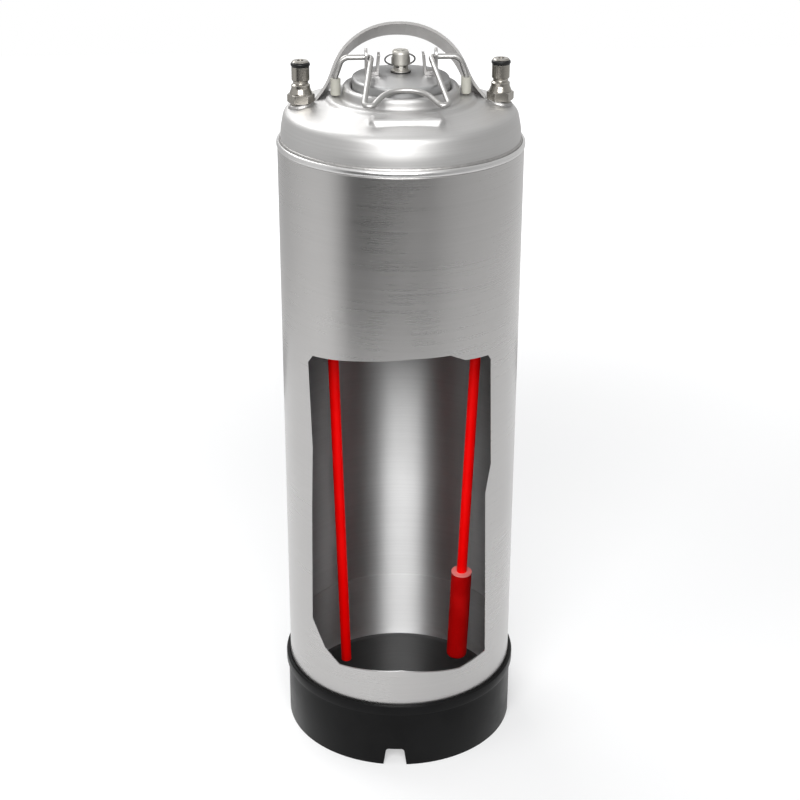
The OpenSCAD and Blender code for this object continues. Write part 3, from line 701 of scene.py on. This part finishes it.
def window_cutter():
    """The hand-cut outline as a flat face, extruded from the axis out past the front of the wall."""
    bpy.ops.object.select_all(action="DESELECT")
    bpy.ops.mesh.primitive_circle_add(vertices=len(WINDOW_SHARES), radius=1, fill_type="NGON")
    cutter = bpy.context.object
    for corner, (across, up) in zip(cutter.data.vertices, WINDOW_SHARES):
        corner.co = WINDOW_PLACE + Vector((across * WINDOW_SIZE.x, 0, up * WINDOW_SIZE.z))
    bpy.ops.object.mode_set(mode="EDIT")
    bpy.ops.mesh.select_all(action="SELECT")
    bpy.ops.mesh.extrude_region_move(TRANSFORM_OT_translate={"value": (0, -WINDOW_REACH, 0)})
    bpy.ops.mesh.select_all(action="SELECT")
    bpy.ops.mesh.normals_make_consistent(inside=False)
    bpy.ops.object.mode_set(mode="OBJECT")
    return cutter


cut_away(wall, window_cutter())
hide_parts("shell")
finish_piece(wall, "keg", shell_steel, smooth=WALL_SMOOTH)

# %% [markdown]
# ## The lining
#
# Inside, the tank keeps the duller finish of the rolled sheet, whose long grain draws the light out
# into one tall streak. A second material on the same wall would need its faces sorted, so the inner
# face becomes a thin skin of its own. The wall is copied, and every face that doesn't look towards
# the axis is deleted. The bottom head's upright skirt and the narrow ledge on it get the same skin.

# %% Copy a piece and choose its faces


def merged_copy(name, source):
    """Copies a piece with a mesh of its own, and merges the points that its faces share."""
    twin = bpy.data.objects.new(name, source.data.copy())
    scene.collection.objects.link(twin)
    pick(twin)
    bpy.ops.object.mode_set(mode="EDIT")
    bpy.ops.mesh.select_all(action="SELECT")
    bpy.ops.mesh.remove_doubles(threshold=MERGE)
    bpy.ops.object.mode_set(mode="OBJECT")
    return twin


def choose_faces(piece, wanted):
    """In edit mode, selects the faces for which a test of centre and normal holds."""
    bpy.ops.mesh.select_mode(type="FACE")
    cage = bmesh.from_edit_mesh(piece.data)
    for face in cage.faces:
        face.select_set(bool(wanted(face.calc_center_median(), face.normal)))
    cage.select_flush_mode()
    bmesh.update_edit_mesh(piece.data)


# %% Peel the inner faces off
LINING_GAP = 0.05 * MM
LEDGE_HEIGHT = 80 * MM
NEARLY_UP = 0.9
NEARLY_INWARDS = -0.5


def faces_the_axis(centre, normal):
    """True for a face that looks inwards, and for the narrow ledge on top of the skirt."""
    outwards = normal.x * centre.x + normal.y * centre.y
    inwards = outwards < NEARLY_INWARDS * math.hypot(centre.x, centre.y)
    return inwards or (normal.z > NEARLY_UP and centre.z > LEDGE_HEIGHT)


def peel(name, source):
    """Copies a piece and keeps only the faces that line the tank."""
    skin = merged_copy(name, source)
    bpy.ops.object.mode_set(mode="EDIT")
    choose_faces(skin, lambda centre, normal: not faces_the_axis(centre, normal))
    bpy.ops.mesh.delete(type="FACE")
    bpy.ops.mesh.select_all(action="SELECT")
    bpy.ops.transform.shrink_fatten(value=LINING_GAP)
    bpy.ops.object.mode_set(mode="OBJECT")
    return skin


lining_steel = turned_steel(
    "lining_steel", (0.53, 0.53, 0.53), (0.65, 0.65, 0.65), rough=0.54, stretch=1.0, density=500.0
)
for skin_name, source in (("tank_lining", wall), ("skirt_lining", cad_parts["bottom_head"])):
    finish_piece(peel(skin_name, source), "keg", lining_steel)

# %% [markdown]
# ## Strip and wire
#
# The handle is bent from strip, the ears are stamped, and the clamp and the pull ring are drawn wire.
# Strip carries fine streaks along its length, and wire is evenly cloudy. A picture of scratched metal
# could give both, but cloudy marks that a Mapping node stretches need no unwrapping. The sheared
# sides of the strap are duller than its faces, so the direction that the surface looks in chooses
# between two finishes.

# %% Streaked and cloudy steel
CUT_EDGE = (0.26, 0.255, 0.25)
CUT_ROUGH = 0.62
CUT_RANGE = (0.5, 0.9)
STREAK_ROUGH = 0.04
STREAK_BUMP = 0.15
HANDLED_SCALE = 40.0
HANDLED_SHARE = 0.25


def plain_steel(name, dark, light, rough, streaks, worn_highlit_edges=0.0, cut=None):
    """Rolled or drawn steel; streaks scales its marks on x, y and z, and sides facing cut are duller."""
    material, tree, shader, place = new_material(name)
    streak = node(tree, "ShaderNodeMapping")
    streak.inputs["Scale"].default_value = streaks
    tree.links.new(place, streak.inputs["Vector"])
    lines = use_group(tree, CLOUDY, streak.outputs[0], Scale=1.0, Low=0.3, High=0.7)
    cloud = use_group(tree, CLOUDY, place, Scale=HANDLED_SCALE)
    colour = blend(tree, lines, dark, light)
    marked = blend(tree, math_node(tree, "MULTIPLY", cloud, HANDLED_SHARE), colour, dark)
    # Edges are lightened towards the pale edge tone: partly wear, partly a painted highlight.
    if worn_highlit_edges:
        worn_and_highlit = math_node(tree, "MULTIPLY", use_group(tree, EDGE_WEAR_AND_HIGHLIGHT, place), worn_highlit_edges)
        marked = blend(tree, worn_and_highlit, marked, WORN_HIGHLIT_EDGE)
    gloss = map_range(tree, lines, (0.0, 1.0), (rough - STREAK_ROUGH, rough + STREAK_ROUGH))
    if cut:
        facing = node(tree, "ShaderNodeVectorMath", operation="DOT_PRODUCT")
        tree.links.new(tree.nodes.new("ShaderNodeTexCoord").outputs["Normal"], facing.inputs[0])
        facing.inputs[1].default_value = cut
        either_side = math_node(tree, "ABSOLUTE", facing.outputs["Value"])
        sheared = map_range(tree, either_side, CUT_RANGE)
        marked = blend(tree, sheared, marked, CUT_EDGE)
        gloss = math_node(tree, "MAXIMUM", gloss, math_node(tree, "MULTIPLY", sheared, CUT_ROUGH))
    tree.links.new(marked, shader.inputs["Base Color"])
    tree.links.new(gloss, shader.inputs["Roughness"])
    shader.inputs["Metallic"].default_value = 1.0
    bump(tree, shader, lines, STREAK_BUMP, GRAIN_DEPTH)
    return material


# %% Strap, ears and wire
STRAP_LEAN = math.radians(29.6)
STRAP_SIDE = (0, -math.cos(STRAP_LEAN), math.sin(STRAP_LEAN))
STRIP_DARK = (0.38, 0.37, 0.365)
STRIP_LIGHT = (0.47, 0.46, 0.45)
STRIP_ROUGH = 0.36
ALONG_X = (30, 900, 900)
ALONG_Z = (900, 900, 30)
EVEN = (25, 25, 25)

strap_steel = plain_steel("strap_steel", STRIP_DARK, STRIP_LIGHT, STRIP_ROUGH, ALONG_X, cut=STRAP_SIDE)
ear_steel = plain_steel("ear_steel", STRIP_DARK, STRIP_LIGHT, STRIP_ROUGH, ALONG_Z, worn_highlit_edges=0.3)
wire_steel = plain_steel(
    "wire_steel", (0.36, 0.355, 0.345), (0.42, 0.415, 0.405), rough=0.42, streaks=EVEN
)
paint(strap_steel, "handle_strap")
paint(ear_steel, "left_ear", "right_ear")
paint(wire_steel, "bail_wire", "pull_ring")

# %% [markdown]
# ## Machined fittings
#
# Posts, spuds and the relief valve are turned on a lathe from bar, so they reuse the turned steel
# with finer rings. They could share one material, but the rings have to run round each fitting's own
# axis, so each gets a finish that is centred on the middle of its box.

# %% Posts and relief valve
FITTING_DARK = (0.25, 0.235, 0.21)
FITTING_LIGHT = (0.40, 0.38, 0.345)
RELIEF_DARK = (0.40, 0.39, 0.36)
RELIEF_LIGHT = (0.49, 0.475, 0.44)
# The fittings' edges are lightened strongly: wear together with a painted highlight.
LATHE = {"density": 2600.0, "depth": 0.00002, "worn_highlit_edges": 0.7}

for side in ("gas", "liquid"):
    low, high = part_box(side + "_post")
    axis = (low + high) / 2
    steel = turned_steel(
        side + "_fitting", FITTING_DARK, FITTING_LIGHT, rough=0.24, stretch=0.5,
        centre=(axis.x, axis.y, 0), **LATHE,
    )
    paint(steel, side + "_post", side + "_spud", side + "_poppet")
low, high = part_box("relief_body")
axis = (low + high) / 2
relief_steel = turned_steel(
    "relief_fitting", RELIEF_DARK, RELIEF_LIGHT, rough=0.5, stretch=0.2,
    centre=(axis.x, axis.y, 0), **LATHE,
)
paint(relief_steel, "relief_body", "relief_stem")

# %% [markdown]
# ## Rubber and plastic
#
# Rubber is nearly black with a soft gloss and a fine grain from its mould. The lines inside are
# coloured plastic: saturated, smooth tubes and a porous stone of a deeper red. All of them come out
# of a mould, so one function serves them with other numbers. The pits could be modelled, but they
# are too small to see one by one, and bump is enough for them.

# %% A moulded finish
PATCH_SCALE = 25.0
PATCH_SMOOTHER = 0.05
PATCH_ROUGHER = 0.07
PIT_BUMP = 0.3


def moulded(name, dark, light, rough, pit_scale, pit_depth, shine=0.3):
    """A moulded rubber, plastic or stone with a fine grain and a slight change of tone."""
    material, tree, shader, place = new_material(name)
    pits = use_group(tree, FINE_PITS, place, Scale=pit_scale)
    cloud = use_group(tree, CLOUDY, place, Scale=PATCH_SCALE)
    tree.links.new(blend(tree, cloud, dark, light), shader.inputs["Base Color"])
    gloss = map_range(tree, cloud, (0.0, 1.0), (rough - PATCH_SMOOTHER, rough + PATCH_ROUGHER))
    tree.links.new(gloss, shader.inputs["Roughness"])
    shader.inputs["Specular IOR Level"].default_value = shine
    bump(tree, shader, pits, PIT_BUMP, pit_depth)
    return material


# %% Rubber, tubes, stone and feet
boot_rubber = moulded(
    "boot_rubber", (0.003, 0.003, 0.0032), (0.005, 0.005, 0.0052),
    rough=0.36, pit_scale=700.0, pit_depth=0.00003, shine=0.11,
)
seal_rubber = moulded(
    "seal_rubber", (0.006, 0.006, 0.0065), (0.012, 0.012, 0.012),
    rough=0.4, pit_scale=1500.0, pit_depth=0.00003,
)
red_tube = moulded(
    "red_tube", (0.94, 0.0, 0.0), (1.0, 0.002, 0.002),
    rough=0.45, pit_scale=1200.0, pit_depth=0.00002, shine=0.08,
)
stone_red = moulded(
    "stone_red", (0.42, 0.0, 0.0), (0.56, 0.003, 0.003),
    rough=0.75, pit_scale=1400.0, pit_depth=0.0003, shine=0.08,
)
cap_pink = moulded(
    "cap_pink", (0.90, 0.24, 0.22), (1.0, 0.34, 0.31),
    rough=0.5, pit_scale=900.0, pit_depth=0.00003,
)
foot_plastic = moulded(
    "foot_plastic", (0.33, 0.325, 0.285), (0.42, 0.415, 0.365),
    rough=0.5, pit_scale=900.0, pit_depth=0.00004,
)
for side in ("gas", "liquid"):
    paint(seal_rubber, side + "_post_seal", side + "_tube_seal", side + "_poppet_seal")
paint(seal_rubber, "lid_seal", "relief_gasket", "relief_seal")
paint(red_tube, "gas_tube", "liquid_tube")
paint(stone_red, "carbonation_stone")
paint(cap_pink, "stone_cap")
paint(foot_plastic, "left_foot", "right_foot")

# %% [markdown]
# ## The rubber boot
#
# The boot is a moulded ring with a thin lip at the top, a hollow under it and four drain notches at
# the bottom. It could be spun from a profile, but the sweep that rolled the wall already gives a
# closed ring: each step extrudes the rim and scales it to the next radius, the way a potter raises a
# wall. A bevel rounds its corners. The notches are cut last, because a cutter leaves cleaner edges
# on finished rubber than on a rough ring.

# %% Raise the boot's wall
BOOT_OUTLINE = [
    (94, 0), (109.85, 0), (109.85, 52), (109.35, 56.8), (110.9, 57), (111.75, 57.5), (112.04, 58.6),
    (112.04, 65), (111.75, 66.2), (111, 66.85), (109.4, 67), (108.6, 66.9), (108.1, 66.4),
    (108.1, 44.95), (106.8, 44.95), (106.8, 6), (94, 6),
]
BOOT_SIDES = 192
BOOT_ROUND = 0.6 * MM
BOOT_SHARP = math.radians(60)

boot = swept_ring("rubber_boot", BOOT_OUTLINE, BOOT_SIDES)
apply_modifier(boot, "BEVEL", width=BOOT_ROUND, segments=3, limit_method="ANGLE", angle_limit=BOOT_SHARP)
print("boot raised with", len(boot.data.polygons), "faces")

# %% Cut the drain notches
NOTCH_FOOT = 27.4 * MM
NOTCH_TOP = 16.8 * MM
NOTCH_HIGH = 18 * MM
NOTCH_ROUND = 2.5 * MM
NOTCH_TURN = -5.9
NOTCH_INNER = 90 * MM
NOTCH_OUTER = 116 * MM


def notch_cutter(turn):
    """A block that narrows upwards to two rounded edges, standing across the boot's wall at a turn."""
    bpy.ops.object.select_all(action="DESELECT")
    middle = -(NOTCH_INNER + NOTCH_OUTER) / 2
    bpy.ops.mesh.primitive_cube_add(size=1, location=(0, 0, 0))
    cutter = bpy.context.object
    bpy.ops.object.mode_set(mode="EDIT")
    bpy.ops.transform.resize(value=(NOTCH_FOOT, NOTCH_OUTER - NOTCH_INNER, 2 * NOTCH_HIGH))
    choose_faces(cutter, lambda centre, normal: normal.z > NEARLY_UP)
    bpy.ops.transform.resize(value=(NOTCH_TOP / NOTCH_FOOT, 1, 1), center_override=(0, 0, 0))
    bpy.ops.mesh.select_mode(type="EDGE")
    bpy.ops.mesh.select_all(action="DESELECT")
    cage = bmesh.from_edit_mesh(cutter.data)
    for edge in cage.edges:
        a, b = (vertex.co for vertex in edge.verts)
        edge.select_set(a.z > 0 and b.z > 0 and abs(a.y - b.y) > abs(a.x - b.x))
    bpy.ops.mesh.bevel(offset=NOTCH_ROUND, segments=6)
    bpy.ops.mesh.select_all(action="SELECT")
    bpy.ops.transform.translate(value=(0, middle, 0))
    bpy.ops.transform.rotate(value=-math.radians(turn), orient_axis="Z", center_override=(0, 0, 0))
    bpy.ops.object.mode_set(mode="OBJECT")
    return cutter


for quarter in range(4):
    cut_away(boot, notch_cutter(NOTCH_TURN + 90 * quarter))
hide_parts("base_boot")
finish_piece(boot, "keg", boot_rubber)

# %% [markdown]
# ## Rim and welds
#
# A bright rolled rim covers the joint of shell and head, and a weld bead runs inside it. Each spud is
# welded to the head too. A bead could be a plain torus, but real ones carry the ripple of the weld
# pool, so every third step round the ring is swollen a little.

# %% The rolled rim
RIM_OUTLINE = [
    (107.95, 579.4), (108.45, 579.7), (108.8, 580.6), (108.85, 582), (108.6, 583.5), (108, 584.5),
    (107.2, 584.9), (106.5, 584.6), (106.4, 584.1), (107.6, 584.1), (108.04, 583), (108.02, 580),
]
RIM_SIDES = 192
RIM_SMOOTH = 50

rim = swept_ring("shell_rim", RIM_OUTLINE, RIM_SIDES)
rim_steel = turned_steel(
    "rim_steel", (0.55, 0.545, 0.54), (0.68, 0.675, 0.67), rough=0.26, stretch=0.4, density=700.0
)
finish_piece(rim, "keg", rim_steel, smooth=RIM_SMOOTH)

# %% The weld bead inside the rim
BEAD_OUTLINE = [
    (105.9, 584.2), (106.3, 584.2), (106.2, 585.2), (105.7, 586.2), (105.1, 586.6), (104.95, 586.4),
    (104.95, 585),
]
BEAD_SIDES = 540
BEAD_SWELL = 0.12 * MM
BEAD_SMOOTH = 60
BEAD_SPECKLE = (300, 300, 300)
RIPPLE_EVERY = 3


def ripple(piece, steps, swell):
    """Swells every third step of a ring, by its vertices' turn round the upright axis."""
    pick(piece)
    bpy.ops.object.mode_set(mode="EDIT")
    bpy.ops.mesh.select_mode(type="VERT")
    bpy.ops.mesh.select_all(action="DESELECT")
    cage = bmesh.from_edit_mesh(piece.data)
    for vertex in cage.verts:
        turn = math.atan2(vertex.co.y, vertex.co.x) / (2 * math.pi)
        vertex.select_set(int((turn + 1) * steps) % RIPPLE_EVERY == 0)
    cage.select_flush_mode()
    bpy.ops.transform.shrink_fatten(value=swell)
    bpy.ops.object.mode_set(mode="OBJECT")


weld_steel = plain_steel(
    "weld_steel", (0.28, 0.275, 0.27), (0.42, 0.41, 0.40), rough=0.42, streaks=BEAD_SPECKLE
)
rim_weld = swept_ring("rim_weld", BEAD_OUTLINE, BEAD_SIDES)
ripple(rim_weld, BEAD_SIDES, BEAD_SWELL)
finish_piece(rim_weld, "keg", weld_steel, smooth=BEAD_SMOOTH)

# %% The weld beads round the spuds
SPUD_BEAD = [(9.0, 2.6), (9.7, 2.5), (10.4, 1.9), (11.1, 0.9), (11.5, -0.2), (11.3, -1.2), (9.0, -1.2)]
SPUD_BEAD_SIDES = 120
SPUD_BEAD_SWELL = 0.15 * MM
SPUD_SUNK = 8 * MM
HEAD_SLOPE = math.radians(12.2)

for side, sign in (("gas", 1), ("liquid", -1)):
    low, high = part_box(side + "_spud")
    axis = (low + high) / 2
    bead = swept_ring(side + "_spud_weld", SPUD_BEAD, SPUD_BEAD_SIDES)
    ripple(bead, SPUD_BEAD_SIDES, SPUD_BEAD_SWELL)
    bpy.ops.object.mode_set(mode="EDIT")
    bpy.ops.mesh.select_all(action="SELECT")
    bpy.ops.transform.rotate(value=-sign * HEAD_SLOPE, orient_axis="Y", center_override=(0, 0, 0))
    bpy.ops.transform.translate(value=(axis.x, axis.y, low.z + SPUD_SUNK))
    bpy.ops.object.mode_set(mode="OBJECT")
    finish_piece(bead, "keg", weld_steel, smooth=BEAD_SMOOTH)

# %% [markdown]
# ## Rounded edges
#
# Stamped and cut steel is never quite sharp, and a rounded edge is what catches the light. The edges
# could be rounded by hand in edit mode, but the strap, the top head and the ears keep the frame's
# own meshes, so they get a weld and a bevel as live modifiers.

# %% Soften the cut edges
EDGE_SEGMENTS = 3


def soften(name, width, angle=40):
    """Welds a frame piece's triangles together and bevels its sharp edges."""
    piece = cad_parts[name]
    weld = piece.modifiers.new("Weld", "WELD")
    weld.merge_threshold = MERGE
    bevel = piece.modifiers.new("Bevel", "BEVEL")
    bevel.width = width
    bevel.segments = EDGE_SEGMENTS
    bevel.limit_method = "ANGLE"
    bevel.angle_limit = math.radians(angle)
    bevel.harden_normals = True
    print(name, "softened by", round(width / MM, 2), "mm")


soften("handle_strap", 0.7 * MM)
soften("top_head", 1.2 * MM, angle=32)
soften("left_ear", 0.5 * MM)
soften("right_ear", 0.5 * MM)

# %% [markdown]
# ## The springs
#
# A small spring sits inside each post and one inside the relief valve. A spring follows no single
# body: one end stays and the other goes with its valve. Here each coil is a copy of the frame's with
# its triangles merged, and it rides whole on one body.

# %% Springs copied onto their bodies
SPRINGS = (
    ("gas_poppet_spring", "gas_valve_press", "keg", 3.5 * MM, "low"),
    ("liquid_poppet_spring", "liquid_valve_press", "keg", 3.5 * MM, "low"),
    ("relief_spring", "relief_pull", "lid", 2.5 * MM, "high"),
)

for node_name, joint, body, travel, fixed_end in SPRINGS:
    low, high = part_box(node_name)
    coil = merged_copy(node_name + "_coil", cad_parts[node_name])
    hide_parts(node_name)
    finish_piece(coil, body, wire_steel)
    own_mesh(coil)

# %% Measure and finish
low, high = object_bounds()
print("dressed keg:", [round(x, 4) for x in high - low], "m")
